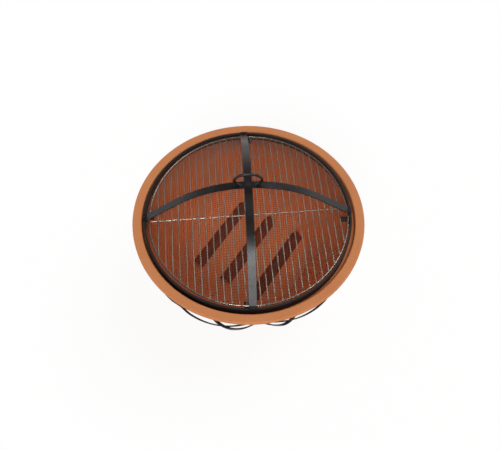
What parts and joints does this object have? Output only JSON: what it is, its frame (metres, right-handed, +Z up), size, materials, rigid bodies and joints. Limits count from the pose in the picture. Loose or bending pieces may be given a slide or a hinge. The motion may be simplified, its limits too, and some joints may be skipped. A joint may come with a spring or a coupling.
{
  "type": "fire bowl",
  "caption": "Round clay-look garden fire bowl on a black flat-bar stand, with log rests, a lift-out chrome wire grill and a lift-off domed mesh spark guard.",
  "frame": {"origin": "on the ground under the middle of the bowl", "axes": "+Z up, +X to the right along the upper strap, +Y to the back"},
  "size_m": [0.562, 0.5618, 0.49],
  "materials": {
    "bowl_clay": "matt, fine grain, unglazed",
    "log_rest_steel": "matt, heat-browned",
    "ring_steel": "satin black",
    "grill_chrome": "bright plated wire",
    "guard_steel": "satin black powder coat",
    "mesh_wire": "satin black",
    "stand_steel": "satin black powder coat",
    "fastener_steel": "satin black"
  },
  "bodies": {
    "stand": {"stand_base_bolts": "fastener_steel", "stand_base_ring": "stand_steel", "stand_bow_1": "stand_steel", "stand_bow_2": "stand_steel", "stand_bow_3": "stand_steel", "stand_bow_4": "stand_steel", "stand_leg_1": "stand_steel", "stand_leg_2": "stand_steel", "stand_leg_3": "stand_steel", "stand_leg_4": "stand_steel", "stand_middle_ring": "stand_steel", "stand_petal_1_left": "stand_steel", "stand_petal_1_right": "stand_steel", "stand_petal_2_left": "stand_steel", "stand_petal_2_right": "stand_steel", "stand_petal_3_left": "stand_steel", "stand_petal_3_right": "stand_steel", "stand_petal_4_left": "stand_steel", "stand_petal_4_right": "stand_steel", "stand_top_bolts": "fastener_steel", "stand_top_ring": "stand_steel"},
    "bowl": {"bowl": "bowl_clay", "grill_tab_1": "ring_steel", "grill_tab_2": "ring_steel", "grill_tab_3": "ring_steel", "grill_tab_4": "ring_steel", "log_rest_1": "log_rest_steel", "log_rest_2": "log_rest_steel", "log_rest_3": "log_rest_steel", "support_ring": "ring_steel", "tab_rivets": "fastener_steel"},
    "grill": {"grill_ring": "grill_chrome", "grill_rods": "grill_chrome", "grill_cross_rod": "grill_chrome"},
    "guard": {"guard_handle": "guard_steel", "guard_mesh": "mesh_wire", "guard_rim_ring": "guard_steel", "guard_strap_lower": "guard_steel", "guard_strap_upper": "guard_steel", "strap_crossing_rivet": "fastener_steel", "strap_end_rivets": "fastener_steel"}
  },
  "joints": [
    {"name": "bowl_lift", "type": "slide", "parent": "stand", "child": "bowl", "axis": [0, 0, 1], "range_m": [0, 0.1]},
    {"name": "grill_lift", "type": "slide", "parent": "bowl", "child": "grill", "axis": [0, 0, 1], "range_m": [0, 0.15]},
    {"name": "guard_lift", "type": "slide", "parent": "grill", "child": "guard", "axis": [0, 0, 1], "range_m": [0, 0.25]}
  ]
}
